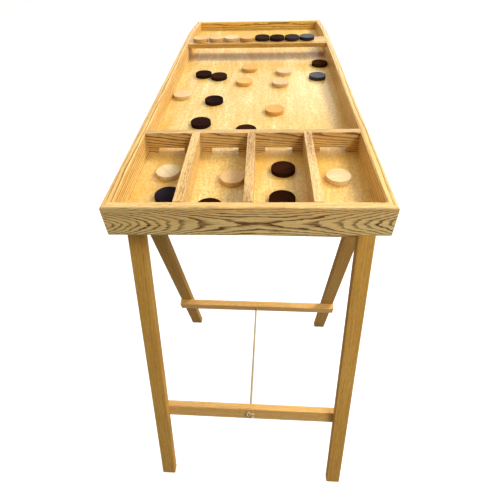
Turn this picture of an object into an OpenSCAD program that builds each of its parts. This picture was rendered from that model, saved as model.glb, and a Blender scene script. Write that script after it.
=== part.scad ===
// Dutch shuffleboard: a shallow oak tray with four scoring gates, on two folding trestles,
// with light and dark wooden discs. All sizes are in millimetres.
// X runs across the tray, Y runs along it from the scoring compartments to the player, Z is up.
// The origin lies on the floor, under the middle of the tray.

/* [Tray] */
// Outer width of the tray
tray_w = 500; // [440:10:650]
// Outer length of the tray
tray_l = 1268; // [1240:4:2000]
// Height of the tray's underside above the floor
tray_z = 760; // [650:10:850]
// Thickness of the walls
wall_t = 18; // [12:1:22]
// Depth from the top of the walls down to the sliding bed
play_depth = 47; // [40:1:70]
// Thickness of the sliding bed
bed_t = 6; // [4:1:10]
// How far the bed lies above the walls' lower edges
bed_rise = 10; // [6:1:16]
// Depth of the groove in the walls that holds the bed
groove_d = 6; // [4:1:8]
// How much lower the far wall's top is than the other walls
far_drop = 18.5; // [5:0.5:25]
// Length over which the side walls slope down to the far end
slope_run = 220; // [120:1:260]
// Radius of the bend where the side walls start to slope
bend_r = 250; // [120:10:400]
// Rounding of the upper edges of the walls
wall_edge_r = 3.5; // [1:0.5:4]
// Rounding of the lower outer edges of the walls
wall_foot_r = 5; // [2:0.5:8]

/* [Gate bar] */
// Distance from the tray's near end to the gate bar
gate_y = 263.5; // [235:0.5:320]
// Thickness of the gate bar
gate_bar_t = 17; // [12:1:22]
// Width of one gate
gate_w = 60.5; // [55:0.5:68]
// Height of one gate
gate_h = 12; // [11.5:0.5:20]
// Thickness of a divider between two compartments
divider_t = 17; // [12:1:20]
// Depth of the housing in the gate bar that holds a divider's end
housing_d = 5; // [2:0.5:8]
// Rounding of the upper edges of the gate bar and dividers
gate_edge_r = 1.2; // [0.5:0.1:3]

/* [Disc shelf] */
// Distance from the tray's near end to the shelf
shelf_y = 900; // [800:2:950]
// Width of the shelf along the tray
shelf_w = 72; // [56:1:90]
// Thickness of the shelf
shelf_t = 13; // [10:0.5:18]
// How far the shelf's top lies below the top of the walls
shelf_drop = 1; // [0.5:0.5:12]
// Rounding of the shelf's upper edges
shelf_edge_r = 3; // [1:0.5:5]

/* [Discs] */
// Diameter of a disc
disc_d = 50; // [40:1:52]
// Thickness of a disc
disc_t = 10; // [7:0.5:11]
// Rounding of a disc's rims
disc_edge_r = 1; // [0.5:0.1:3]

/* [Trestles] */
// Outer width of a trestle's legs
stand_w = 498; // [360:2:640]
// Width of a leg, seen from the end of the tray
leg_w = 35.5; // [24:0.5:45]
// Thickness of a leg
leg_t = 20; // [15:1:28]
// Thickness of the crossbars and of the board at the top
bar_t = 20; // [15:1:26]
// Height of a crossbar
bar_h = 33.5; // [22:0.5:45]
// Lean of the outer frame, whose feet point to the tray's end, in degrees
outer_lean = 18.5; // [12:0.1:24]
// Lean of the inner frame, whose feet point under the tray, in degrees
inner_lean = 16.1; // [10:0.1:22]
// Distance from the tray's end to the hinge line of its trestle
hinge_y = 127.5; // [90:0.5:300]
// How far each trestle stands turned under the tray, as it is set down by hand, in degrees
stand_turn = 1.5; // [0:0.1:3]
// Depth of the hinge line under the tray
hinge_drop = 5; // [4.5:0.5:8]
// Length of the top board's lower part, from the hinge line down the legs
board_h = 77; // [50:1:120]
// Height of the crossbars' middle, and of the rope through it, above the floor
bar_z = 203; // [120:1:400]
// How far the inner crossbar's ends stand out past the legs
bar_overhang = 0; // [0:1:8]
// Rounding of the legs' and bars' long edges
leg_edge_r = 2.5; // [1:0.5:5]

/* [Hinges] */
// Width of a butt hinge
hinge_w = 30; // [20:1:34]
// Height of a hinge leaf below the hinge line
leaf_h = 32; // [20:1:45]
// Thickness of a hinge leaf
leaf_t = 2; // [1.5:0.5:3]
// Radius of the hinge's knuckles
knuckle_r = 3.5; // [3:0.25:4]
// Radius of the hinge's pin
pin_r = 1.75; // [1.25:0.25:2]
// Width of the hinge's middle knuckle
knuckle_w = 10; // [6:1:14]

/* [Rope] */
// Diameter of the rope that keeps a trestle from spreading
rope_d = 5; // [4:0.5:8]
// Diameter of a stopper knot
knot_d = 19; // [16:1:24]
// Length of the rope's tail past its stopper knot
tail_l = 3; // [2:0.5:8]
// Slant of the strand that crosses a stopper knot, in degrees
tail_turn = 35; // [0:5:90]

/* [Fits] */
// Gap between a disc and what it lies on
glide_gap = 0.1; // [0.05:0.05:0.3]
// Gap between a pin and its bore
pin_gap = 0.05; // [0.02:0.01:0.1]
// Gap between a moving leg's top and the tray
swing_gap = 0.3; // [0.2:0.1:1]
// Gap between one hinge leaf and the plane through the pin
leaf_gap = 0.1; // [0.05:0.05:0.3]
// Gap around a hinge's moving knuckle
knuckle_gap = 0.4; // [0.2:0.1:1]
// Gap around the rope in its holes
rope_gap = 0.5; // [0.3:0.1:1.5]

/* [Hidden] */
// Smoothness of round forms
$fn = 64;
// Smoothness of the side walls' wide bend, of which only a few degrees are used
bend_fn = 720;
// Small overlap that keeps a cut clean
eps = 0.01;
// Length of a cutting block, longer than any piece
far = 3000;
// Length by which the legs and the top board are drawn past the hinge line before they are cut
above = 100;

// Wall height, the top of the walls, and the top of the bed
wall_h = play_depth + bed_t + bed_rise;
top_z = tray_z + wall_h;
bed_z = tray_z + bed_rise + bed_t;
inner_w = tray_w - 2 * wall_t;
near_y = -tray_l / 2;
far_y = tray_l / 2;

// Slope of the side walls' tops, with the bend's two tangent points
slope_a = atan(far_drop / slope_run);
bend_y = far_y - slope_run - bend_r * tan(slope_a / 2);
bend_z = top_z - bend_r;
// Depth of the block that carries a wall's rounded upper edges
cap_h = wall_h + far_drop;

// Compartments behind the gates: three dividers at an even pitch
compartments = 4;
divider_pitch = (inner_w + divider_t) / compartments;
bar_near = near_y + gate_y;
divider_near = near_y + wall_t;

// Shelf for the discs that wait for their turn
shelf_near = near_y + shelf_y;
shelf_z = top_z - shelf_drop;

// Hinge line of the near trestle, and the planes on which its wood lies
pin_y = near_y + hinge_y;
pin_z = tray_z - hinge_drop;
wood_v = leaf_gap + leaf_t;
hinge_x = (stand_w - leg_w) / 2;
leg_l = far / 2;

// Rope: the two faces of the bars that its knots sit on, as [across the frame, up along it]
outer_seat = [-wood_v - bar_t, frame_height(outer_lean, -wood_v - bar_t)];
inner_seat = [wood_v, frame_height(-inner_lean, wood_v)];
rope_start = frame_y(outer_lean, outer_seat);
rope_end = frame_y(-inner_lean, inner_seat);
rope_sides = 10;
// Its route as [way from the outer knot's seat, depth below its ends], for bars 367 mm apart
rope_route_l = 367;
rope_route = [
    [-2, 0],
    [10, 0],
    [21, 0],
    [48, 0.9],
    [75, 1.7],
    [102, 2.3],
    [129, 2.7],
    [156, 2.9],
    [183, 3],
    [210, 2.9],
    [237, 2.7],
    [264, 2.3],
    [291, 1.7],
    [318, 0.9],
    [345, 0],
    [356, 0],
    [365.5, 0]
];

// Discs that came through a gate, as [compartment, share of the room beside the disc from -1
// at the left to 1 at the right, share of the room along the compartment]
light_scored = [
    [0, 0.36, 0.67],
    [1, 0.88, 0.56],
    [3, -0.15, 0.58]
];
dark_scored = [
    [0, 0.89, 0.25],
    [1, -0.5, 0.06],
    [2, 0.25, 0.73],
    [2, 0.05, 0.19]
];
// Discs that stopped on the lane, as [side, way, run]: the way in from the left wall (-1) or the
// right wall (1), or to the right of the middle (0), and the run beyond the gate bar
light_stopped = [
    [0, 53.5, 191],
    [-1, 27, 294],
    [0, -33.5, 390],
    [0, 74, 378.5],
    [0, -21, 504],
    [0, 88, 472]
];
dark_stopped = [
    [0, -16.5, 76.5],
    [-1, 101, 119.5],
    [-1, 121, 255],
    [-1, 118.5, 435],
    [-1, 69, 454.5],
    [1, 44.5, 428.5],
    [1, 26.5, 542.5]
];
// Discs that wait on the shelf, from the left, as [share of the shelf's free room to the left of
// the disc, share of the shelf's width]: the light ones and then the dark ones
waiting = [
    [0.22, 0.57],
    [0.275, 0.61],
    [0.3, 0.63],
    [0.365, 0.59],
    [0.4, 0.62],
    [0.408, 0.57],
    [0.418, 0.58],
    [0.428, 0.61]
];
waiting_light = 4;

OAK = "#d9b36c";
PALE_OAK = "#e8c98a";
BIRCH = "#ecc873";
PINE = "#c99a55";
LIGHT_DISC = "#efd3a0";
DARK_DISC = "#3d2118";
BRASS = "#c8a951";
ROPE = "#dcc6a0";

TRESTLE = [
    "outer_leg_left", "outer_leg_right", "top_board", "outer_crossbar", "outer_hinge_leaves",
    "inner_leg_left", "inner_leg_right", "inner_crossbar", "inner_hinge_leaves",
    "rope", "rope_knot"
];

// In a frame that leans by so much: the height up along it at which the plane v across it
// meets the level of the crossbars, and the place along the tray of a point in it
function frame_height(lean, v) = (bar_z - pin_z + v * sin(lean)) / cos(lean);
function frame_y(lean, p) = pin_y + p[0] * cos(lean) + p[1] * sin(lean);

// The corner that a rounding of radius r takes off, with its tip at the origin
module corner(r) {
    difference() {
        translate([-eps, -eps])
            square(r + eps);
        translate([r, r])
            circle(r);
    }
}

// A rectangle with all four corners rounded, centred on x, from y = 0 upwards
module rounded_rect(w, h, r) {
    translate([r - w / 2, 0])
        square([w - 2 * r, h]);
    translate([-w / 2, r])
        square([w, h - 2 * r]);
    for (x = [r - w / 2, w / 2 - r])
        for (y = [r, h - r])
            translate([x, y])
                circle(r);
}

// A wall's lower half in section: outer face at x = 0, groove for the bed inside
module wall_section(height) {
    difference() {
        square([wall_t, height]);
        corner(wall_foot_r);
        translate([wall_t - groove_d, bed_rise])
            square([groove_d + eps, bed_t]);
    }
}

// A wall's upper half in section, turned so that its top lies at x = cap_h
module cap_section() {
    difference() {
        square([cap_h, wall_t]);
        translate([cap_h, 0])
            mirror([1, 0])
                corner(wall_edge_r);
        translate([cap_h, wall_t])
            mirror([1, 0])
                mirror([0, 1])
                    corner(wall_edge_r);
    }
}

// The path of a side wall's top: level, round the bend, and down to the far end
module side_cap() {
    translate([-tray_w / 2 + wall_t, bend_y, bend_z]) {
        rotate([90, -90, 0])
            translate([bend_r - cap_h, 0, 0])
                linear_extrude(tray_l)
                    cap_section();
        rotate([0, -90, 0])
            rotate_extrude(angle = slope_a, $fn = bend_fn)
                translate([bend_r - cap_h, 0])
                    cap_section();
        rotate([-slope_a, 0, 0])
            rotate([90, -90, 0])
                translate([bend_r - cap_h, 0, -2 * slope_run])
                    linear_extrude(2 * slope_run)
                        cap_section();
    }
}

// A block that holds the left wall up to its mitre with the near wall
module mitre_block() {
    translate([-tray_w / 2, near_y, tray_z - wall_h])
        rotate([0, 0, 45])
            translate([-far / 2, 0, 0])
                cube([far, far, 4 * wall_h]);
}

module side_wall() {
    color(OAK)
        intersection() {
            translate([-tray_w / 2, far_y, tray_z])
                rotate([90, 0, 0])
                    linear_extrude(tray_l)
                        wall_section(wall_h);
            side_cap();
            mitre_block();
        }
}

module left_wall() {
    side_wall();
}

module right_wall() {
    mirror([1, 0, 0])
        side_wall();
}

module near_wall() {
    color(OAK)
        difference() {
            translate([-tray_w / 2, near_y, tray_z])
                rotate([90, 0, 90])
                    linear_extrude(tray_w)
                        difference() {
                            wall_section(wall_h);
                            translate([0, wall_h])
                                mirror([0, 1])
                                    corner(wall_edge_r);
                            translate([wall_t, wall_h])
                                mirror([1, 0])
                                    mirror([0, 1])
                                        corner(wall_edge_r);
                        }
            mitre_block();
            mirror([1, 0, 0])
                mitre_block();
        }
}

module far_wall() {
    far_h = wall_h - far_drop;
    color(OAK)
        translate([-inner_w / 2, far_y, tray_z])
            rotate([90, 0, 90])
                linear_extrude(inner_w)
                    mirror([1, 0])
                        difference() {
                            wall_section(far_h);
                            translate([0, far_h])
                                mirror([0, 1])
                                    corner(wall_edge_r);
                            translate([wall_t, far_h])
                                mirror([1, 0])
                                    mirror([0, 1])
                                        corner(wall_edge_r);
                        }
}

module tray_bed() {
    bed_w = inner_w + 2 * groove_d;
    bed_l = tray_l - 2 * wall_t + 2 * groove_d;
    color(BIRCH)
        translate([-bed_w / 2, -bed_l / 2, tray_z + bed_rise])
            difference() {
                cube([bed_w, bed_l, bed_t]);
                // The far wall stops short of the side walls' grooves
                for (x = [-eps, bed_w - groove_d])
                    translate([x, bed_l - groove_d, -eps])
                        cube([groove_d + eps, groove_d + eps, bed_t + 2 * eps]);
            }
}

// One piece of the gate bar or a divider in section, with rounded upper edges
module upright_section(t) {
    difference() {
        square([t, play_depth]);
        translate([0, play_depth])
            mirror([0, 1])
                corner(gate_edge_r);
        translate([t, play_depth])
            mirror([1, 0])
                mirror([0, 1])
                    corner(gate_edge_r);
    }
}

// Middle of a gate, counted from 0 at the left
function gate_x(i) = (i - (compartments - 1) / 2) * divider_pitch;

module gate_bar() {
    color(PALE_OAK)
        difference() {
            translate([-inner_w / 2, bar_near, bed_z])
                rotate([90, 0, 90])
                    linear_extrude(inner_w)
                        upright_section(gate_bar_t);
            for (i = [0 : compartments - 1])
                translate([gate_x(i) - gate_w / 2, bar_near - eps, bed_z - eps])
                    cube([gate_w, gate_bar_t + 2 * eps, gate_h + eps]);
            for (i = [-1 : 1])
                translate([i * divider_pitch - divider_t / 2, bar_near - eps, bed_z - eps])
                    cube([divider_t, housing_d + eps, play_depth + 2 * eps]);
        }
}

module divider(i) {
    divider_l = gate_y + housing_d - wall_t;
    color(PALE_OAK)
        translate([i * divider_pitch - divider_t / 2, divider_near + divider_l, bed_z])
            rotate([90, 0, 0])
                linear_extrude(divider_l)
                    upright_section(divider_t);
}

module disc_shelf() {
    color(PALE_OAK)
        translate([-inner_w / 2, shelf_near, shelf_z - shelf_t])
            rotate([90, 0, 90])
                linear_extrude(inner_w)
                    difference() {
                        square([shelf_w, shelf_t]);
                        translate([0, shelf_t])
                            mirror([0, 1])
                                corner(shelf_edge_r);
                        translate([shelf_w, shelf_t])
                            mirror([1, 0])
                                mirror([0, 1])
                                    corner(shelf_edge_r);
                    }
}

// A turned disc with rounded rims, its lower face at z = 0
module disc_shape() {
    rotate_extrude()
        difference() {
            square([disc_d / 2, disc_t]);
            translate([disc_d / 2, 0])
                mirror([1, 0])
                    corner(disc_edge_r);
            translate([disc_d / 2, disc_t])
                mirror([1, 0])
                    mirror([0, 1])
                        corner(disc_edge_r);
        }
}

// Places of the discs, as [x, y]
function scored_place(p) = [
    gate_x(p[0]) + p[1] * (divider_pitch - divider_t - disc_d) / 2,
    divider_near + disc_d / 2 + p[2] * (gate_y - wall_t - disc_d)
];
function stopped_place(p) = [
    p[0] == 0 ? p[1] : p[0] * (inner_w / 2 - p[1]),
    bar_near + gate_bar_t + p[2]
];
function waiting_place(i) = [
    disc_d * (i + 0.5) - inner_w / 2 + waiting[i][0] * (inner_w - len(waiting) * disc_d),
    shelf_near + waiting[i][1] * shelf_w
];
light_places = concat(
    [for (p = light_scored) scored_place(p)],
    [for (p = light_stopped) stopped_place(p)]
);
dark_places = concat(
    [for (p = dark_scored) scored_place(p)],
    [for (p = dark_stopped) stopped_place(p)]
);

module disc_on(place, z, tone) {
    color(tone)
        translate([place[0], place[1], z + glide_gap])
            disc_shape();
}

// Each trestle frame is drawn hanging down from its hinge line:
// x across, y from the outer to the inner side, z up towards the hinge line
module outer_frame() {
    translate([0, pin_y, pin_z])
        rotate([-outer_lean, 0, 0])
            children();
}

module inner_frame() {
    translate([0, pin_y, pin_z])
        rotate([inner_lean, 0, 0])
            children();
}

// What lies between the floor and a level ceiling
module between_floor_and(ceiling) {
    intersection() {
        children();
        translate([-far / 2, -far / 2, 0])
            cube([far, far, ceiling]);
    }
}

// A leg as a long batten, centred on x, with its outer face at y = 0
module leg_batten() {
    translate([0, 0, -leg_l])
        linear_extrude(leg_l + above)
            rounded_rect(leg_w, leg_t, leg_edge_r);
}

// A bar across the legs, with its lower edge at z = 0 and one wide face at y = 0
module cross_batten(length, height) {
    translate([-length / 2, 0, 0])
        rotate([90, 0, 90])
            linear_extrude(length)
                translate([bar_t / 2, 0])
                    rounded_rect(bar_t, height, leg_edge_r);
}

// Room for the knuckles of both hinges, open to the top
module knuckle_room() {
    room_r = knuckle_r + knuckle_gap;
    room_w = hinge_w + 2 * knuckle_gap;
    for (x = [-hinge_x, hinge_x])
        translate([x - room_w / 2, 0, 0]) {
            rotate([0, 90, 0])
                cylinder(r = room_r, h = room_w);
            translate([0, -room_r, 0])
                cube([room_w, 2 * room_r, above]);
        }
}

// Hole for the rope, level and square to the hinge line
module rope_hole() {
    translate([0, pin_y, bar_z])
        rotate([90, 0, 0])
            translate([0, 0, -far / 2])
                cylinder(d = rope_d + 2 * rope_gap, h = far);
}

module outer_leg(side) {
    color(PINE)
        between_floor_and(tray_z)
            outer_frame()
                translate([side * hinge_x, -wood_v - bar_t - leg_t, 0])
                    leg_batten();
}

module inner_leg(side) {
    color(PINE)
        between_floor_and(tray_z - swing_gap)
            inner_frame()
                difference() {
                    translate([side * hinge_x, wood_v, 0])
                        leg_batten();
                    knuckle_room();
                }
}

module top_board() {
    color(PINE)
        between_floor_and(tray_z)
            outer_frame()
                difference() {
                    translate([0, -wood_v - bar_t, -board_h])
                        cross_batten(stand_w, board_h + above);
                    knuckle_room();
                }
}

module outer_crossbar() {
    color(PINE)
        difference() {
            outer_frame()
                translate([0, -wood_v - bar_t, frame_height(outer_lean, -wood_v - bar_t / 2) - bar_h / 2])
                    cross_batten(stand_w, bar_h);
            rope_hole();
        }
}

module inner_crossbar() {
    color(PINE)
        difference() {
            inner_frame()
                translate([0, wood_v - bar_t, frame_height(-inner_lean, wood_v - bar_t / 2) - bar_h / 2])
                    cross_batten(stand_w + 2 * bar_overhang, bar_h);
            rope_hole();
        }
}

// A hinge leaf's plate, from the knuckles down, on the side of the pin given by its offset.
// The plate stops short of the other leaf's knuckles.
module leaf_plate(offset, own_middle) {
    neck = sqrt(knuckle_r * knuckle_r - wood_v * wood_v);
    reach = knuckle_r + knuckle_gap;
    half = knuckle_w / 2;
    difference() {
        translate([-hinge_w / 2, offset, -leaf_h])
            cube([hinge_w, leaf_t, leaf_h - neck + eps]);
        if (own_middle) {
            translate([-hinge_w, offset - leaf_t, -reach])
                cube([hinge_w - half + leaf_gap, 3 * leaf_t, reach]);
            translate([half - leaf_gap, offset - leaf_t, -reach])
                cube([hinge_w, 3 * leaf_t, reach]);
        } else {
            translate([-half - leaf_gap, offset - leaf_t, -reach])
                cube([knuckle_w + 2 * leaf_gap, 3 * leaf_t, reach]);
        }
    }
}

// Leaves on the top board, with the end knuckles and the pin
module outer_hinge_leaves() {
    end_w = (hinge_w - knuckle_w) / 2 - leaf_gap;
    color(BRASS)
        outer_frame()
            for (x = [-hinge_x, hinge_x])
                translate([x, 0, 0]) {
                    leaf_plate(-wood_v, false);
                    for (start = [-hinge_w / 2, hinge_w / 2 - end_w])
                        translate([start, 0, 0])
                            rotate([0, 90, 0])
                                cylinder(r = knuckle_r, h = end_w);
                    translate([-hinge_w / 2, 0, 0])
                        rotate([0, 90, 0])
                            cylinder(r = pin_r, h = hinge_w);
                }
}

// Leaves on the inner legs, with the middle knuckle
module inner_hinge_leaves() {
    middle_w = knuckle_w - 2 * leaf_gap;
    color(BRASS)
        inner_frame()
            for (x = [-hinge_x, hinge_x])
                translate([x, 0, 0])
                    difference() {
                        union() {
                            leaf_plate(leaf_gap, true);
                            translate([-middle_w / 2, 0, 0])
                                rotate([0, 90, 0])
                                    cylinder(r = knuckle_r, h = middle_w);
                        }
                        translate([-hinge_w / 2, 0, 0])
                            rotate([0, 90, 0])
                                cylinder(r = pin_r + pin_gap, h = hinge_w);
                    }
}

// A tube along the rope's route: rings of points in upright planes, joined to one closed skin
module rope_tube() {
    stretch = (rope_end - rope_start) / rope_route_l;
    rings = len(rope_route);
    points = [
        for (p = rope_route)
            for (j = [0 : rope_sides - 1])
                let (a = 360 * j / rope_sides)
                    [
                        rope_d / 2 * cos(a),
                        rope_start + p[0] * stretch,
                        bar_z - p[1] + rope_d / 2 * sin(a)
                    ]
    ];
    skin = [
        for (k = [0 : rings - 2])
            for (j = [0 : rope_sides - 1])
                let (n = (j + 1) % rope_sides, b = k * rope_sides, c = b + rope_sides)
                    for (face = [[b + n, c + n, c + j], [b + n, c + j, b + j]])
                        face
    ];
    first = [for (j = [rope_sides - 1 : -1 : 0]) j];
    last = [for (j = [0 : rope_sides - 1]) (rings - 1) * rope_sides + j];
    polyhedron(points = points, faces = concat(skin, [first, last]), convexity = 4);
}

// A capsule along x
module strand(from_x, to_x) {
    translate([from_x, 0, 0])
        rotate([0, 90, 0])
            cylinder(d = rope_d, h = to_x - from_x);
    for (x = [from_x, to_x])
        translate([x, 0, 0])
            sphere(d = rope_d);
}

// A stopper knot on a face at z = 0: a turn of rope round the hole, pressed a little flat,
// and a strand that crosses it and ends in the tail
module stopper_knot() {
    ring_r = (knot_d - rope_d) / 2;
    pressed = rope_d / 10;
    rotate_extrude()
        intersection() {
            translate([ring_r, rope_d / 2 - pressed])
                circle(d = rope_d);
            square(knot_d);
        }
    cylinder(r = ring_r, h = rope_d * 0.6);
    translate([0, 0, rope_d])
        rotate([0, 0, -tail_turn])
            strand(-ring_r, ring_r + rope_d / 2 + tail_l);
}

// The rope with its stopper knot on the outer bar
module rope() {
    color(ROPE) {
        rope_tube();
        outer_frame()
            translate([0, outer_seat[0], outer_seat[1]])
                rotate([90, 0, 0])
                    stopper_knot();
    }
}

// The stopper knot on the inner bar
module rope_knot() {
    color(ROPE)
        inner_frame()
            translate([0, inner_seat[0], inner_seat[1]])
                rotate([-90, 0, 0])
                    stopper_knot();
}

// A trestle as it stands, turned about an upright line through the middle of its hinge line
module set_down() {
    translate([0, pin_y, 0])
        rotate([0, 0, -stand_turn])
            translate([0, -pin_y, 0])
                children();
}

module trestle_piece(name) {
    if (name == "outer_leg_left") outer_leg(-1);
    if (name == "outer_leg_right") outer_leg(1);
    if (name == "top_board") top_board();
    if (name == "outer_crossbar") outer_crossbar();
    if (name == "outer_hinge_leaves") outer_hinge_leaves();
    if (name == "inner_leg_left") inner_leg(-1);
    if (name == "inner_leg_right") inner_leg(1);
    if (name == "inner_crossbar") inner_crossbar();
    if (name == "inner_hinge_leaves") inner_hinge_leaves();
    if (name == "rope") rope();
    if (name == "rope_knot") rope_knot();
}

tray_bed();
near_wall();
far_wall();
left_wall();
right_wall();
gate_bar();
divider(-1);  // divider_left
divider(0);  // divider_middle
divider(1);  // divider_right
disc_shelf();
for (piece = TRESTLE)
    set_down() trestle_piece(piece);
for (piece = TRESTLE)
    mirror([0, 1, 0]) set_down() trestle_piece(piece);
for (i = [1 : len(light_places)])
    disc_on(light_places[i - 1], bed_z, LIGHT_DISC);
for (i = [1 : len(dark_places)])
    disc_on(dark_places[i - 1], bed_z, DARK_DISC);
for (i = [1 : waiting_light])
    disc_on(waiting_place(i - 1), shelf_z, LIGHT_DISC);
for (i = [1 : len(waiting) - waiting_light])
    disc_on(waiting_place(waiting_light + i - 1), shelf_z, DARK_DISC);
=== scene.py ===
# Looks of the dutch shuffleboard: an oak and birch tray on two folding trestles, with discs.
# Everything is in metres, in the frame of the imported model.
import math

import bpy
from mathutils import Euler, Matrix, Quaternion, Vector


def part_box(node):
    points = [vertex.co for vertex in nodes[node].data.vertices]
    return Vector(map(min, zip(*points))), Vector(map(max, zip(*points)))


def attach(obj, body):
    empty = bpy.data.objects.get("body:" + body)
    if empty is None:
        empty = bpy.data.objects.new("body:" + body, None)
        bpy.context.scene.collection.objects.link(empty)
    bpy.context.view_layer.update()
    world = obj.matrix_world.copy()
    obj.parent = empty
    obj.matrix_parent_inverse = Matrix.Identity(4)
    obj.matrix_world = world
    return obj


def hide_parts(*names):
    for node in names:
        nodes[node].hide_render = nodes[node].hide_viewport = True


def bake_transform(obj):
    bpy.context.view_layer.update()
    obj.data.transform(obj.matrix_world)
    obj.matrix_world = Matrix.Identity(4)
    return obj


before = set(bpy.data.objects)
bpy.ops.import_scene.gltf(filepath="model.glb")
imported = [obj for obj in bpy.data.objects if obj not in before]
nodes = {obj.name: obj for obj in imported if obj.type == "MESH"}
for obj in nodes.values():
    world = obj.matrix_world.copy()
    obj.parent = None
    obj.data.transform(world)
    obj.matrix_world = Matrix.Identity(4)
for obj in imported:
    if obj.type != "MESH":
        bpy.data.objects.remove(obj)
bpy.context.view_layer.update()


# Camera

CAMERA_AT = Vector((0.0277, -1.1376, 1.2108))
CAMERA_TO = Vector((-0.03611, 0.72054, -0.69253))
CAMERA_ROLL = math.radians(-1.67)
CAMERA_LENS = 27.53


def set_camera():
    data = bpy.data.cameras.new("camera")
    data.lens = CAMERA_LENS
    data.sensor_width = 36.0
    data.clip_start = 0.05
    data.clip_end = 50.0
    camera = bpy.data.objects.new("camera", data)
    bpy.context.scene.collection.objects.link(camera)
    camera.location = CAMERA_AT
    camera.rotation_mode = "QUATERNION"
    turn = CAMERA_TO.to_track_quat("-Z", "Y")
    camera.rotation_quaternion = turn @ Quaternion((0.0, 0.0, 1.0), CAMERA_ROLL)
    bpy.context.scene.camera = camera


# Helpers for materials

def put(tree, kind, inputs=None, **settings):
    """A shader node with its settings, and its inputs given as values or as sockets to link."""
    made = tree.nodes.new(kind)
    for name, value in settings.items():
        setattr(made, name, value)
    for name, value in (inputs or {}).items():
        if isinstance(value, bpy.types.NodeSocket):
            tree.links.new(value, made.inputs[name])
        else:
            made.inputs[name].default_value = value
    return made


def maths(tree, operation, a, b=0.0, c=0.0, clamp=False):
    made = put(tree, "ShaderNodeMath", {0: a, 1: b, 2: c}, operation=operation, use_clamp=clamp)
    return made.outputs[0]


def vector_maths(tree, operation, a, b):
    return put(tree, "ShaderNodeVectorMath", {0: a, 1: b}, operation=operation).outputs[0]


def scaled(tree, vector, scale):
    made = put(tree, "ShaderNodeVectorMath", {0: vector, "Scale": scale}, operation="SCALE")
    return made.outputs[0]


def blend_colours(tree, factor, a, b):
    """Colour a where factor is 0 and b where it is 1."""
    made = put(tree, "ShaderNodeMix", data_type="RGBA", blend_type="MIX")
    for place, value in ((0, factor), (6, a), (7, b)):
        if isinstance(value, bpy.types.NodeSocket):
            tree.links.new(value, made.inputs[place])
        else:
            made.inputs[place].default_value = value
    return made.outputs[2]


def ramp(tree, factor, stops):
    """A height that changes evenly between stops, each a place along factor and its height."""
    made = put(tree, "ShaderNodeValToRGB", {0: factor})
    steps = made.color_ramp.elements
    while len(steps) < len(stops):
        steps.new(0.5)
    for step, (place, height) in zip(steps, stops):
        step.position = place
        step.color = (height, height, height, 1.0)
    return made.outputs[0]


def noise(tree, point, scale, detail=2.0, roughness=0.5):
    """Noise of about one feature a unit, after the point is stretched by scale. Its first output
    is a value, its second a colour."""
    stretched = vector_maths(tree, "MULTIPLY", point, scale)
    return put(tree, "ShaderNodeTexNoise",
               {"Vector": stretched, "Scale": 1.0, "Detail": detail, "Roughness": roughness})


def drifted(tree, place, point, scale, detail, reach):
    """A place moved by the noise at point, by up to half of reach each way."""
    shift = noise(tree, point, scale, detail).outputs[1]
    shift = vector_maths(tree, "SUBTRACT", shift, (0.5, 0.5, 0.5))
    return vector_maths(tree, "ADD", place, scaled(tree, shift, reach))


def seen(red, green, blue):
    """A colour as it is seen, from 0 to 255, in the values that Blender reckons with."""
    def linear(c):
        c = c / 255.0
        return c / 12.92 if c <= 0.04045 else ((c + 0.055) / 1.055) ** 2.4
    return (linear(red), linear(green), linear(blue), 1.0)


def group(name, inputs, outputs):
    """An empty node group with named sockets, and the nodes that stand for them in it."""
    tree = bpy.data.node_groups.new(name, "ShaderNodeTree")
    for socket, kind, value in inputs:
        made = tree.interface.new_socket(name=socket, in_out="INPUT", socket_type=kind)
        if value is not None:
            made.default_value = value
    for socket, kind in outputs:
        tree.interface.new_socket(name=socket, in_out="OUTPUT", socket_type=kind)
    return tree, tree.nodes.new("NodeGroupInput"), tree.nodes.new("NodeGroupOutput")


# Grain that all the wood shares

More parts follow.
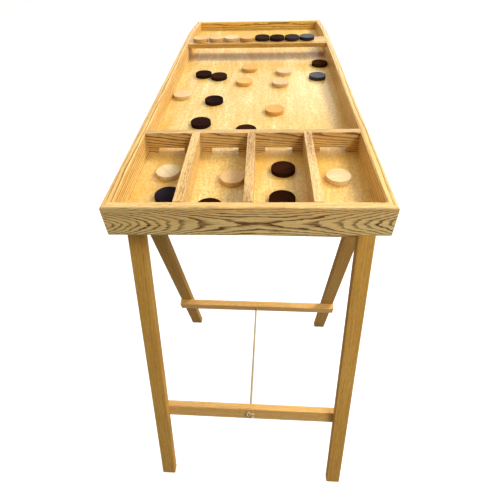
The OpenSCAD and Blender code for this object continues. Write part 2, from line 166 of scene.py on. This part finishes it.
def make_board_grain():
    """Growth rings of a board cut from a log whose pith runs along x through the origin. Ring is
    the width of a year, Wander and Ripple are how far the rings stray at length and closely, and
    Bow is how much the log is bowed."""
    tree, given, out = group(
        "board grain",
        [("Point", "NodeSocketVector", None), ("Ring", "NodeSocketFloat", 0.003),
         ("Wander", "NodeSocketFloat", 0.02), ("Ripple", "NodeSocketFloat", 0.002),
         ("Bow", "NodeSocketFloat", 0.0)],
        [("Rings", "NodeSocketFloat"), ("Streaks", "NodeSocketFloat"),
         ("Pores", "NodeSocketFloat"), ("Cloud", "NodeSocketFloat")])
    point = given.outputs["Point"]
    bent = point
    fibre_reach = 0.0008
    for scale, reach in (((2.6, 11.0, 11.0), given.outputs["Wander"]),
                         ((14.0, 90.0, 90.0), given.outputs["Ripple"]),
                         ((60.0, 700.0, 700.0), fibre_reach)):
        bent = drifted(tree, bent, point, scale, 1.0, reach)
    # A log that is bowed brings the points of its rings together about x = 0
    along = put(tree, "ShaderNodeSeparateXYZ", {0: point}).outputs[0]
    bow = maths(tree, "MULTIPLY", maths(tree, "MULTIPLY", along, along), given.outputs["Bow"])
    bent = vector_maths(tree, "SUBTRACT", bent, put(tree, "ShaderNodeCombineXYZ", {1: bow}).outputs[0])
    across = vector_maths(tree, "MULTIPLY", bent, (0.0, 1.0, 1.0))
    radius = put(tree, "ShaderNodeVectorMath", {0: across}, operation="LENGTH").outputs["Value"]
    count = maths(tree, "DIVIDE", radius, given.outputs["Ring"])
    year = put(tree, "ShaderNodeTexWhiteNoise",
               {"W": maths(tree, "FLOOR", count)}, noise_dimensions="1D").outputs[0]
    # A year is darkest where it begins, fades out, and stays pale until the next one
    season = ramp(tree, maths(tree, "FRACT", count),
                  [(0.0, 1.0), (0.18, 0.85), (0.34, 0.2), (0.46, 0.0), (0.94, 0.0), (1.0, 1.0)])
    streaks = noise(tree, point, (16.0, 520.0, 520.0), 3.0, 0.6).outputs[0]
    # How dark a year is depends on the year and on the streaks in the wood
    strength = maths(tree, "MULTIPLY_ADD", streaks, 1.7, -0.3)
    strength = maths(tree, "MULTIPLY_ADD", year, 0.7, strength)
    rings = maths(tree, "MULTIPLY", season, strength, clamp=True)
    # The pores are dashes along the grain, strongest in the dark of the rings
    elsewhere = vector_maths(tree, "ADD", point, (0.0, 0.37, 0.0))
    dashes = noise(tree, elsewhere, (90.0, 520.0, 520.0), 1.0).outputs[0]
    dashes = ramp(tree, dashes, [(0.0, 0.0), (0.48, 0.0), (0.6, 1.0), (1.0, 1.0)])
    pores = maths(tree, "MULTIPLY", dashes, maths(tree, "MULTIPLY_ADD", rings, 0.6, 0.4))
    cloud = noise(tree, point, (3.5, 22.0, 22.0), 3.0).outputs[0]
    for name, value in (("Rings", rings), ("Streaks", streaks), ("Pores", pores),
                        ("Cloud", cloud)):
        tree.links.new(value, out.inputs[name])
    return tree


BOARD_GRAIN = make_board_grain()

# How much rougher the dark of the rings is, and how deep the grain lies
RINGS_ROUGHER = 0.16
GRAIN_DEPTH = 0.0003

# Turns that bring a piece's length onto x
ALONG_X = (0.0, 0.0, 0.0)
ALONG_Y = (0.0, 0.0, math.radians(-90))
ALONG_Z = (0.0, math.radians(90), 0.0)


def lying(node, turn, pith, start):
    """The move that puts a board's grain right: its middle lies at start along a log and at pith
    beside the log's heart, after turn has brought its length onto x."""
    low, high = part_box(node)
    middle = Euler(turn).to_matrix() @ ((low + high) / 2)
    return Vector((start, pith[0], pith[1])) - middle


def new_material(name):
    """A material with a Principled surface alone, its nodes, and that surface."""
    made = bpy.data.materials.new(name)
    made.use_nodes = True
    tree = made.node_tree
    tree.nodes.clear()
    surface = tree.nodes.new("ShaderNodeBsdfPrincipled")
    out = tree.nodes.new("ShaderNodeOutputMaterial")
    tree.links.new(surface.outputs[0], out.inputs[0])
    return made, tree, surface


def board_material(name, look, turn, move):
    """A board of one kind of wood. look holds its colours and the size of its grain, and turn and
    move bring the board to its place in the log."""
    made, tree, surface = new_material(name)
    place = put(tree, "ShaderNodeTexCoord").outputs["Object"]
    place = put(tree, "ShaderNodeMapping",
                {"Vector": place, "Rotation": turn, "Location": move}).outputs[0]
    grain = put(tree, "ShaderNodeGroup", node_tree=BOARD_GRAIN)
    tree.links.new(place, grain.inputs["Point"])
    for socket in ("Ring", "Wander", "Ripple", "Bow"):
        grain.inputs[socket].default_value = look[socket]
    cloud = ramp(tree, grain.outputs["Cloud"], [(0.3, 0.0), (0.7, 1.0)])
    colour = blend_colours(tree, cloud, look["pale"], look["deep"])
    streaks = ramp(tree, grain.outputs["Streaks"], [(0.35, 0.0), (0.7, look["streaks"])])
    colour = blend_colours(tree, streaks, colour, look["line"])
    rings = maths(tree, "MULTIPLY", grain.outputs["Rings"], look["rings"])
    colour = blend_colours(tree, rings, colour, look["line"])
    pores = maths(tree, "MULTIPLY", grain.outputs["Pores"], look["pores"])
    colour = blend_colours(tree, pores, colour, look["pore"])
    tree.links.new(colour, surface.inputs["Base Color"])
    rough = maths(tree, "MULTIPLY_ADD", grain.outputs["Rings"], RINGS_ROUGHER, look["rough"])
    tree.links.new(rough, surface.inputs["Roughness"])
    height = maths(tree, "ADD", grain.outputs["Pores"], rings)
    bump = put(tree, "ShaderNodeBump",
               {"Strength": look["bump"], "Distance": GRAIN_DEPTH, "Height": height}, invert=True)
    tree.links.new(bump.outputs[0], surface.inputs["Normal"])
    surface.inputs["Specular IOR Level"].default_value = look["shine"]
    surface.inputs["Coat Weight"].default_value = look["coat"]
    surface.inputs["Coat Roughness"].default_value = look["coat_rough"]
    return made


def plain_name(node):
    return node.replace("_", " ")


def dress(node, material):
    mesh = nodes[node].data
    mesh.materials.clear()
    mesh.materials.append(material)


# Woods

# Colours: pale and deep are the clouds of the wood itself, line its rings and pore its pores.
# Names with a capital go to the grain's own sockets.
OAK = {
    "pore": seen(92, 60, 26), "Ring": 0.0026, "Wander": 0.010, "Ripple": 0.0026, "Bow": 0.0,
    "streaks": 0.35, "rings": 1.0, "pores": 0.3, "rough": 0.42, "bump": 0.35,
    "shine": 0.3, "coat": 0.2, "coat_rough": 0.25,
}
NEAR_OAK = dict(OAK, pale=seen(255, 229, 158), deep=seen(255, 211, 134), line=seen(90, 44, 16),
                streaks=0.27, Ring=0.0019, Wander=0.005, Ripple=0.0028, Bow=0.24)
FAR_OAK = dict(OAK, pale=seen(254, 218, 118), deep=seen(244, 198, 98), line=seen(140, 92, 38))
SIDE_OAK = dict(OAK, pale=seen(244, 206, 128), deep=seen(230, 182, 98), line=seen(128, 84, 36),
                Ring=0.0048, rings=0.9)
GATE_OAK = dict(OAK, pale=seen(238, 202, 134), deep=seen(224, 180, 108), line=seen(106, 66, 32),
                Ring=0.0042, rings=0.9)
DIVIDER_OAK = dict(OAK, pale=seen(246, 212, 148), deep=seen(234, 192, 118), line=seen(140, 94, 44),
                   pore=seen(116, 74, 32), Ring=0.0040, rings=0.6, pores=0.8)
MIDDLE_DIVIDER_OAK = dict(DIVIDER_OAK, pale=seen(230, 198, 138), deep=seen(218, 178, 110))
SHELF_OAK = dict(OAK, pale=seen(230, 186, 98), deep=seen(212, 162, 78), line=seen(120, 78, 36))
PINE = {
    "pale": seen(229, 181, 93), "deep": seen(213, 161, 72), "line": seen(146, 98, 40),
    "pore": seen(124, 80, 34), "Ring": 0.0036, "Wander": 0.012, "Ripple": 0.0012, "Bow": 0.0,
    "streaks": 0.3, "rings": 0.16, "pores": 0.3, "rough": 0.5, "bump": 0.2,
    "shine": 0.2, "coat": 0.0, "coat_rough": 0.35,
}
# The inner legs stand in the shade under the tray, and their pine is drawn darker for it: painted shade
INNER_PINE_PAINTED_SHADE = dict(PINE, pale=seen(206, 164, 86), deep=seen(190, 145, 66))
# The top boards and crossbars are drawn paler than the legs: partly their own tone, partly painted light
# on their tops
BAR_PINE_PAINTED_LIGHT = dict(PINE, pale=seen(250, 206, 134), deep=seen(240, 190, 112))

# A board cut a little aslant shows its rings as nested points on its face
NEAR_TURN = (0.0, math.radians(0.6), math.radians(0.6))
GATE_TURN = (0.0, math.radians(-2), math.radians(-3))


def dress_tray():
    # Each board has its look, the turn of its grain, where it lies beside the log's pith and where
    # along the log
    for node, look, turn, pith, start in (
            ("near_wall", NEAR_OAK, NEAR_TURN, (0.066, 0.004), 0.0),
            ("far_wall", FAR_OAK, ALONG_X, (0.05, -0.02), 2.1),
            ("left_wall", SIDE_OAK, ALONG_Y, (0.05, 0.05), 4.0),
            ("right_wall", SIDE_OAK, ALONG_Y, (-0.05, 0.055), 7.0),
            ("gate_bar", GATE_OAK, GATE_TURN, (0.045, -0.035), 9.0),
            ("disc_shelf", SHELF_OAK, ALONG_X, (0.02, 0.06), 11.0),
            ("divider_left", DIVIDER_OAK, ALONG_Y, (0.01, 0.05), 13.0),
            ("divider_middle", MIDDLE_DIVIDER_OAK, ALONG_Y, (-0.012, 0.06), 14.3),
            ("divider_right", DIVIDER_OAK, ALONG_Y, (0.004, 0.055), 15.6)):
        move = lying(node, turn, pith, start)
        dress(node, board_material(plain_name(node) + " oak", look, turn, move))


# Bed

# Under and behind the shelf no disc polishes the varnish, so it is dull there. These are the ends
# of the change, along the tray.
POLISHED_TO, DULL_FROM = 0.24, 0.29


def make_bed_material():
    made, tree, surface = new_material("bed birch ply")
    place = put(tree, "ShaderNodeTexCoord").outputs["Object"]
    bent = drifted(tree, place, place, (5.0, 2.2, 5.0), 2.0, 0.12)
    colour = seen(250, 232, 170)
    masks = {}
    for name, point, scale, detail, roughness, stops, stain in (
            ("figure", bent, (42.0, 6.0, 1.0), 4.0, 0.62, [(0.34, 0.0), (0.68, 1.0)], (228, 191, 102)),
            ("waves", bent, (120.0, 8.0, 1.0), 3.0, 0.6, [(0.46, 0.0), (0.66, 0.4)], (210, 162, 72)),
            ("mottle", bent, (190.0, 120.0, 1.0), 3.0, 0.7, [(0.4, 0.0), (0.66, 0.75)], (196, 150, 64)),
            ("fibres", bent, (700.0, 40.0, 1.0), 2.0, 0.6, [(0.45, 0.0), (0.8, 0.45)], (186, 136, 54)),
            ("flecks", bent, (420.0, 90.0, 1.0), 1.0, 0.5, [(0.66, 0.0), (0.76, 0.45)], (150, 100, 44)),
            ("patches", place, (7.0, 3.0, 1.0), 2.0, 0.5, [(0.42, 0.0), (0.64, 0.5)], (210, 164, 72))):
        masks[name] = ramp(tree, noise(tree, point, scale, detail, roughness).outputs[0], stops)
        colour = blend_colours(tree, masks[name], colour, seen(*stain))
    tree.links.new(colour, surface.inputs["Base Color"])
    smear = noise(tree, place, (9.0, 5.0, 1.0), 3.0).outputs[0]
    rough = maths(tree, "MULTIPLY_ADD", smear, 0.14, 0.24)
    along = put(tree, "ShaderNodeSeparateXYZ", {0: place}).outputs[1]
    dull = ramp(tree, along, [(POLISHED_TO, 0.0), (DULL_FROM, 0.55)])
    rough = maths(tree, "ADD", rough, dull)
    tree.links.new(rough, surface.inputs["Roughness"])
    bump = put(tree, "ShaderNodeBump", {"Strength": 0.08, "Distance": 0.0002, "Height": masks["fibres"]})
    tree.links.new(bump.outputs[0], surface.inputs["Normal"])
    surface.inputs["Specular IOR Level"].default_value = 0.2
    surface.inputs["Coat Weight"].default_value = 0.28
    surface.inputs["Coat Roughness"].default_value = 0.12
    return made


# Trestles

OUTER_LEAN = math.radians(18.5)
INNER_LEAN = math.radians(16.1)
# Each trestle stands a little turned about the middle of its hinge line
HINGE_Y = -0.5065
STAND_TURN = math.radians(1.5)
# How far apart along a log two legs of a frame, or two boards of a trestle, lie
LEGS_APART, BARS_APART = 1.7, 1.9
# Where the left leg, the right leg and a bar lie beside the pith
LEFT_PITH, RIGHT_PITH, BAR_PITH = (0.045, 0.02), (0.045, -0.02), (0.05, 0.015)


def on_stand(point, sign, hinge=(0.0, HINGE_Y, 0.0)):
    """A point of the near trestle drawn square, as it stands on the near (1) or far (-1) one."""
    turned = Matrix.Rotation(-STAND_TURN, 3, "Z") @ (Vector(point) - Vector(hinge)) + Vector(hinge)
    return Vector((turned.x, sign * turned.y, turned.z))


def dress_trestles():
    # Each trestle has its sign along the tray, and where along their logs its legs and bars lie
    for end, sign, legs_start, bars_start in (("near_", 1.0, 42.5, 34.0), ("far_", -1.0, 37.4, 28.0)):
        for part, look, lean in (("outer_", PINE, -OUTER_LEAN * sign),
                                 ("inner_", INNER_PINE_PAINTED_SHADE, INNER_LEAN * sign)):
            # Square the trestle up, stand the leg upright, and then lay its length onto x
            turn = (Euler(ALONG_Z).to_matrix() @ Euler((-lean, 0.0, 0.0)).to_matrix()
                    @ Matrix.Rotation(STAND_TURN * sign, 3, "Z")).to_euler()
            for side, pith, start in (("left", LEFT_PITH, legs_start),
                                      ("right", RIGHT_PITH, legs_start + LEGS_APART)):
                node = end + part + "leg_" + side
                move = lying(node, turn, pith, start)
                dress(node, board_material(plain_name(node) + " pine", look, tuple(turn), move))
        turn = (0.0, 0.0, STAND_TURN * sign)
        for number, part in enumerate(("top_board", "outer_crossbar", "inner_crossbar")):
            node = end + part
            move = lying(node, turn, BAR_PITH, bars_start + BARS_APART * number)
            dress(node, board_material(plain_name(node) + " pine", BAR_PINE_PAINTED_LIGHT, turn, move))


def make_brass():
    made, tree, surface = new_material("hinge brass")
    place = put(tree, "ShaderNodeTexCoord").outputs["Object"]
    stain = noise(tree, place, (90.0, 90.0, 90.0), 3.0).outputs[0]
    colour = blend_colours(tree, stain, seen(214, 178, 98), seen(168, 130, 62))
    tree.links.new(colour, surface.inputs["Base Color"])
    brushed = noise(tree, place, (2600.0, 160.0, 160.0), 1.0).outputs[0]
    rough = maths(tree, "MULTIPLY_ADD", brushed, 0.2, 0.22)
    tree.links.new(rough, surface.inputs["Roughness"])
    surface.inputs["Metallic"].default_value = 1.0
    return made


# Discs

def disc_material(node, top, deep, line, shine, turn, start):
    """A turned disc, its grain turned by so many degrees on its face."""
    look = dict(OAK, pale=top, deep=deep, line=line, pore=line, Ring=0.0022, Ripple=0.0008,
                streaks=0.3, rings=0.14, pores=0.12, bump=0.12, shine=shine, coat=0.0)
    angle = (0.0, 0.0, math.radians(turn))
    return board_material(plain_name(node), look, angle, lying(node, angle, DISC_PITH, start))


# The tone of each disc as it is seen, in the order of the nodes
LIGHT_TONES = [
    (254, 230, 184), (244, 202, 144), (246, 218, 168), (232, 172, 86), (240, 210, 158),
    (236, 184, 104), (236, 202, 146), (234, 182, 104), (238, 204, 152),
]
SHELF_LIGHT_TONES = [(236, 190, 122), (232, 194, 136), (242, 210, 158), (234, 180, 100)]
# The blue in the tones of the tenth dark disc and of the fourth dark disc on the shelf is painted
# reflection of a blue-grey sheen; the dark under it is their own tone
DARK_TONES = [
    (58, 48, 60), (54, 25, 12), (66, 34, 20), (52, 24, 13), (66, 36, 24), (52, 31, 28),
    (52, 32, 30), (74, 48, 38), (52, 32, 28), (44, 44, 60), (68, 40, 20),
]
SHELF_DARK_TONES = [(64, 50, 46), (62, 46, 44), (74, 64, 68), (46, 48, 66)]
# Beside a disc's own tone, how deep its clouds and the lines of its grain are, and how it shines
LIGHT_SHADING = {"deep": 0.86, "line": 0.68, "shine": 0.25}
DARK_SHADING = {"deep": 0.6, "line": 0.35, "shine": 0.0}
# Two dark discs are varnished and catch the light
VARNISHED_SHINE = {"dark_disc_10": 0.22, "shelf_dark_disc_4": 0.12}
# No two discs lie the same way round or come from the same place along a log: these are the
# degrees between two discs and for each letter of their kind's name, and the places
DISC_TURN, KIND_TURN = 67, 31
DISCS_START, DISCS_APART = 40.0, 2.3
DISC_PITH = (0.03, 0.05)


def dress_discs():
    for prefix, tones, shading in (("light_disc_", LIGHT_TONES, LIGHT_SHADING),
                                   ("dark_disc_", DARK_TONES, DARK_SHADING),
                                   ("shelf_light_disc_", SHELF_LIGHT_TONES, LIGHT_SHADING),
                                   ("shelf_dark_disc_", SHELF_DARK_TONES, DARK_SHADING)):
        for number, tone in enumerate(tones, 1):
            node = prefix + str(number)
            deep = [level * shading["deep"] for level in tone]
            line = [level * shading["line"] for level in tone]
            shine = VARNISHED_SHINE.get(node, shading["shine"])
            turn = (number * DISC_TURN + len(prefix) * KIND_TURN) % 180
            start = DISCS_START + DISCS_APART * number + len(prefix)
            dress(node, disc_material(node, seen(*tone), seen(*deep), seen(*line),
                                      shine, turn, start))


# Ropes

# Where the near rope leaves its outer knot and meets its inner one, and the height of its ends
ROPE_START, ROPE_END, ROPE_HEIGHT = -0.7145, -0.3450, 0.2030
# The way along the rope and how far it hangs below its ends there
ROPE_ROUTE = [
    (-0.0020, 0.0), (0.0100, 0.0), (0.0210, 0.0), (0.0480, 0.0009), (0.0750, 0.0017),
    (0.1020, 0.0023), (0.1290, 0.0027), (0.1560, 0.0029), (0.1830, 0.0030), (0.2100, 0.0029),
    (0.2370, 0.0027), (0.2640, 0.0023), (0.2910, 0.0017), (0.3180, 0.0009), (0.3450, 0.0),
    (0.3560, 0.0), (0.3655, 0.0),
]
ROPE_ROUTE_LENGTH = 0.367
ROPE_THICKNESS = 0.005
# Jute is fluffy, so its strands are drawn a little thicker
STRANDS_THICKNESS = 1.14 * ROPE_THICKNESS
STRANDS = 3
# The length of rope in which a strand goes round once, and the depth between two strands as a
# share of the rope's radius
STRAND_TURN = 0.016
STRAND_DEPTH = 0.2
# Sides of a rope's and a knot's round, and the steps along a rope and along a knot's tail
ROPE_SIDES, KNOT_SIDES = 24, 16
ROPE_STEP, TAIL_STEP = 0.0011, 0.001

# The unit of each knot's turns, and how far their middle lies above the hole
OUTER_KNOT_SIZE, OUTER_KNOT_RISE = 0.0025, 0.0055
INNER_KNOT_SIZE, INNER_KNOT_RISE = 0.0018, -0.005
# A knot is wider than it is high, and its rope is drawn tight and so a little thinner
KNOT_WIDENING = 1.2
KNOT_THICKNESS, TAIL_THICKNESS = 0.96 * ROPE_THICKNESS, 0.9 * ROPE_THICKNESS
KNOT_STEPS = 90
# The way of a knot's tail: how far beside its hole, above it, and out past the middle of the turns
TAIL_ROUTE = [(0.001, 0.003, 0.001), (0.006, 0.001, 0.003), (0.010, -0.002, 0.001)]
# How much lower the tail lies when its knot hangs below the hole, as a multiple of that drop
TAIL_SINK = 1.8
# How far the rope comes out of its hole, as a multiple of the way to the middle of the turns
CORE_REACH = 1.2


def smooth_way(points, step):
    """Points about a step apart on a smooth curve through the given ones, evenly spaced."""
    fine_steps = 12
    fine = []
    for number in range(len(points) - 1):
        before, here = points[max(number - 1, 0)], points[number]
        there, beyond = points[number + 1], points[min(number + 2, len(points) - 1)]
        for fine_number in range(fine_steps):
            t = fine_number / fine_steps
            fine.append(0.5 * (2 * here + (there - before) * t
                               + (2 * before - 5 * here + 4 * there - beyond) * t * t
                               + (3 * here - before - 3 * there + beyond) * t ** 3))
    fine.append(points[-1])
    marks = [0.0]
    for here, there in zip(fine, fine[1:]):
        marks.append(marks[-1] + (there - here).length)
    count = max(2, round(marks[-1] / step))
    spaced = []
    number = 0
    for spaced_number in range(count + 1):
        wanted = marks[-1] * spaced_number / count
        while number < len(marks) - 2 and marks[number + 1] < wanted:
            number += 1
        share = (wanted - marks[number]) / max(marks[number + 1] - marks[number], 1e-9)
        spaced.append(fine[number].lerp(fine[number + 1], min(max(share, 0.0), 1.0)))
    return spaced


def strand_rings(way, thickness, sides, closed):
    """The corners of rings of laid strands round a way, and how far along it each ring lies."""
    corners, marks = [], []
    side = Vector((1.0, 0.0, 0.0))
    travelled = 0.0
    for number, point in enumerate(way):
        if closed:
            ahead = way[(number + 1) % len(way)] - way[number - 1]
        else:
            ahead = way[min(number + 1, len(way) - 1)] - way[max(number - 1, 0)]
        ahead.normalize()
        side = (side - ahead * side.dot(ahead)).normalized()
        over = ahead.cross(side)
        if number:
            travelled += (point - way[number - 1]).length
        marks.append(travelled)
        twist = 2 * math.pi * travelled / STRAND_TURN
        for corner in range(sides):
            angle = 2 * math.pi * corner / sides
            bulge = abs(math.cos(STRANDS * (angle - twist) / 2)) ** 0.6
            reach = thickness / 2 * (1.0 - STRAND_DEPTH + STRAND_DEPTH * bulge)
            corners.append(point + (side * math.cos(angle) + over * math.sin(angle)) * reach)
    return corners, marks


def twisted_rope(name, way, thickness, sides, closed=False):
    """A mesh of laid strands along a way, with a map that runs round it and along it."""
    corners, marks = strand_rings(way, thickness, sides, closed)
    rings = len(way)
    faces, lay = [], []
    for ring in range(rings if closed else rings - 1):
        near = marks[ring]
        far = marks[ring + 1] if ring + 1 < rings else near + (way[0] - way[-1]).length
        here, there = ring * sides, (ring + 1) % rings * sides
        for corner in range(sides):
            beside = (corner + 1) % sides
            faces.append((here + corner, here + beside, there + beside, there + corner))
            left, right = corner / sides, (corner + 1) / sides
            lay += [(left, near), (right, near), (right, far), (left, far)]
    if not closed:
        for ring, order in ((0, range(sides - 1, -1, -1)), (rings - 1, range(sides))):
            faces.append([ring * sides + corner for corner in order])
            lay += [(corner / sides, marks[ring]) for corner in order]
    mesh = bpy.data.meshes.new(name)
    mesh.from_pydata([tuple(corner) for corner in corners], [], faces)
    uv = mesh.uv_layers.new(name="lay")
    for place, pair in zip(uv.data, lay):
        place.uv = pair
    for face in mesh.polygons:
        face.use_smooth = True
    made = bpy.data.objects.new(name, mesh)
    bpy.context.scene.collection.objects.link(made)
    return made


def make_rope_material():
    made, tree, surface = new_material("jute rope")
    uv = put(tree, "ShaderNodeUVMap", uv_map="lay").outputs[0]
    split = put(tree, "ShaderNodeSeparateXYZ", {0: uv})
    around, along = split.outputs[0], split.outputs[1]
    turns = maths(tree, "MULTIPLY", along, 1.0 / STRAND_TURN)
    phase = maths(tree, "SUBTRACT", around, turns)
    phase = maths(tree, "MULTIPLY", phase, STRANDS * 2 * math.pi)
    # The rope is drawn darker in the grooves between its strands: painted shade
    groove = maths(tree, "MULTIPLY_ADD", maths(tree, "COSINE", phase), 0.5, 0.5)
    painted_groove_shade = ramp(tree, groove, [(0.05, 0.0), (0.5, 1.0)])
    colour = blend_colours(tree, painted_groove_shade, seen(104, 80, 48), seen(230, 213, 172))
    place = put(tree, "ShaderNodeTexCoord").outputs["Object"]
    fuzz = noise(tree, place, (900.0, 900.0, 900.0), 2.0).outputs[0]
    fuzz = ramp(tree, fuzz, [(0.4, 0.0), (0.75, 0.5)])
    colour = blend_colours(tree, fuzz, colour, seen(166, 144, 100))
    tree.links.new(colour, surface.inputs["Base Color"])
    surface.inputs["Roughness"].default_value = 0.85
    bump = put(tree, "ShaderNodeBump", {"Strength": 0.5, "Distance": 0.0002, "Height": fuzz})
    tree.links.new(bump.outputs[0], surface.inputs["Normal"])
    return made


def knot_way(size):
    """The closed way of a stopper knot, which has three lobes about its middle."""
    way = []
    for number in range(KNOT_STEPS):
        t = 2 * math.pi * number / KNOT_STEPS
        way.append(Vector((KNOT_WIDENING * (math.sin(t) + 2 * math.sin(2 * t)),
                           math.cos(t) - 2 * math.cos(2 * t),
                           -math.sin(3 * t))) * size)
    return way


def make_knot(name, seat, out, size, rise, material):
    """A stopper knot drawn tight against the face at seat, whose outward way is out. Its turns lie
    about a middle that is by rise above the hole, and size is the length of their unit."""
    turn = out.to_track_quat("Z", "Y").to_matrix()
    lift = size + ROPE_THICKNESS / 2
    placed = [turn @ (point + Vector((0.0, rise, lift))) + seat for point in knot_way(size)]
    knot = twisted_rope(name, placed, KNOT_THICKNESS, KNOT_SIDES, closed=True)
    sink = min(0.0, TAIL_SINK * rise)
    tail_way = [turn @ Vector((x, y + sink, z + lift)) + seat for x, y, z in TAIL_ROUTE]
    tail = twisted_rope(name + "_tail", smooth_way(tail_way, TAIL_STEP), TAIL_THICKNESS, KNOT_SIDES)
    core_way = [seat + out * (CORE_REACH * lift * share) for share in (0.0, 0.25, 0.5, 0.75, 1.0)]
    core = twisted_rope(name + "_core", core_way, ROPE_THICKNESS, KNOT_SIDES)
    for part in (knot, tail, core):
        part.data.materials.append(material)
    bpy.ops.object.select_all(action="DESELECT")
    for part in (tail, core, knot):
        part.select_set(True)
    bpy.context.view_layer.objects.active = knot
    bpy.ops.object.join()
    return knot


def make_ropes(material):
    stretch = (ROPE_END - ROPE_START) / ROPE_ROUTE_LENGTH
    # A direction is turned about zero, and a place about the hinge line
    zero = (0.0, 0.0, 0.0)
    for end, sign in (("near", 1.0), ("far", -1.0)):
        route = [on_stand((0.0, ROPE_START + along * stretch, ROPE_HEIGHT - drop), sign)
                 for along, drop in ROPE_ROUTE]
        way = smooth_way(route, ROPE_STEP)
        rope = twisted_rope(end + "_rope_strands", way, STRANDS_THICKNESS, ROPE_SIDES)
        rope.data.materials.append(material)
        outer_out = on_stand((0.0, -math.cos(OUTER_LEAN), math.sin(OUTER_LEAN)), sign, zero)
        inner_out = on_stand((0.0, math.cos(INNER_LEAN), math.sin(INNER_LEAN)), sign, zero)
        outer_seat = on_stand((0.0, ROPE_START, ROPE_HEIGHT), sign)
        inner_seat = on_stand((0.0, ROPE_END, ROPE_HEIGHT), sign)
        outer_knot = make_knot(end + "_outer_knot", outer_seat, outer_out,
                               OUTER_KNOT_SIZE, OUTER_KNOT_RISE, material)
        inner_knot = make_knot(end + "_inner_knot", inner_seat, inner_out,
                               INNER_KNOT_SIZE, INNER_KNOT_RISE, material)
        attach(outer_knot, end + "_stand_outer")
        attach(inner_knot, end + "_stand_inner")
        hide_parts(end + "_rope")
        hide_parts(end + "_rope_knot")
        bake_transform(rope)


# Lights and floor

TRAY_MIDDLE = (0.0, 0.0, 0.77)
FRONT_MIDDLE = (0.0, -0.55, 0.6)
FLOOR_UNDER_FAR_END = (0.0, 0.5, 0.0)
# The varnish mirrors the lamps at the back, and their tint sets the colour of its glare
BACK_TINT = (0.93, 1.0, 0.9)
# The soft light in the shade
SOFT_COLOUR = (1.0, 0.91, 0.74, 1.0)
SOFT_STRENGTH = 0.16
FLOOR_SIZE = 14.0
FLOOR_GREY = (0.4, 0.4, 0.4, 1.0)
FLOOR_GLOW = 0.9


def set_light(name, at, to, width, height, watts, colour):
    data = bpy.data.lights.new(name, "AREA")
    data.shape = "RECTANGLE"
    data.size = width
    data.size_y = height
    data.energy = watts
    data.color = colour
    lamp = bpy.data.objects.new(name, data)
    bpy.context.scene.collection.objects.link(lamp)
    lamp.location = at
    lamp.rotation_mode = "QUATERNION"
    lamp.rotation_quaternion = (Vector(to) - Vector(at)).to_track_quat("-Z", "Y")


def set_lights():
    set_light("right light", (3.0, 1.9, 3.6), TRAY_MIDDLE, 1.5, 1.8, 228.0, (1.0, 0.945, 0.87))
    set_light("left light", (-3.0, 1.9, 3.6), TRAY_MIDDLE, 1.5, 1.8, 30.0, (0.94, 0.94, 0.9))
    set_light("front light", (1.2, -1.6, 2.1), FRONT_MIDDLE, 1.0, 0.7, 28.0, (1.0, 0.95, 0.84))
    set_light("ceiling light", (0.0, 0.5, 3.5), FLOOR_UNDER_FAR_END, 3.0, 3.0, 32.0,
              (1.0, 0.96, 0.86))
    set_light("low back light", (0.0, 3.6, 1.6), TRAY_MIDDLE, 2.6, 0.34, 4.5, BACK_TINT)
    set_light("back right light", (0.9, 3.6, 2.25), TRAY_MIDDLE, 1.2, 0.5, 3.4, BACK_TINT)
    set_light("high back light", (-0.05, 3.6, 3.0), TRAY_MIDDLE, 1.4, 0.6, 3.0, BACK_TINT)


def set_world():
    """White where it is seen, also in a mirroring or clear surface, and a soft warm light else."""
    world = bpy.data.worlds.new("studio")
    bpy.context.scene.world = world
    world.use_nodes = True
    tree = world.node_tree
    tree.nodes.clear()
    path = put(tree, "ShaderNodeLightPath")
    shown = maths(tree, "ADD", path.outputs["Is Camera Ray"], path.outputs["Is Glossy Ray"])
    shown = maths(tree, "ADD", shown, path.outputs["Is Transmission Ray"], clamp=True)
    soft = put(tree, "ShaderNodeBackground", {"Color": SOFT_COLOUR, "Strength": SOFT_STRENGTH})
    white = put(tree, "ShaderNodeBackground", {"Color": (1.0, 1.0, 1.0, 1.0), "Strength": 1.0})
    mixed = put(tree, "ShaderNodeMixShader", {0: shown, 1: soft.outputs[0], 2: white.outputs[0]})
    out = tree.nodes.new("ShaderNodeOutputWorld")
    tree.links.new(mixed.outputs[0], out.inputs[0])


def make_floor():
    """Paper that glows for the camera and still shows the shadow."""
    bpy.ops.object.select_all(action="DESELECT")
    bpy.ops.mesh.primitive_plane_add(size=FLOOR_SIZE, location=(0.0, 0.0, 0.0))
    floor = bpy.context.object
    floor.name = "floor"
    made, tree, surface = new_material("floor paper")
    surface.inputs["Base Color"].default_value = FLOOR_GREY
    surface.inputs["Roughness"].default_value = 0.9
    surface.inputs["Specular IOR Level"].default_value = 0.0
    surface.inputs["Emission Color"].default_value = (1.0, 1.0, 1.0, 1.0)
    path = put(tree, "ShaderNodeLightPath")
    glow = maths(tree, "MULTIPLY", path.outputs["Is Camera Ray"], FLOOR_GLOW)
    tree.links.new(glow, surface.inputs["Emission Strength"])
    floor.data.materials.append(made)


# Making the looks

set_camera()
dress_tray()
dress("tray_bed", make_bed_material())
dress_trestles()
dress_discs()
brass = make_brass()
for end in ("near_", "far_"):
    for part in ("outer_hinge_leaves", "inner_hinge_leaves"):
        dress(end + part, brass)
make_ropes(make_rope_material())
set_lights()
set_world()
make_floor()
bpy.context.scene.view_settings.view_transform = "Standard"
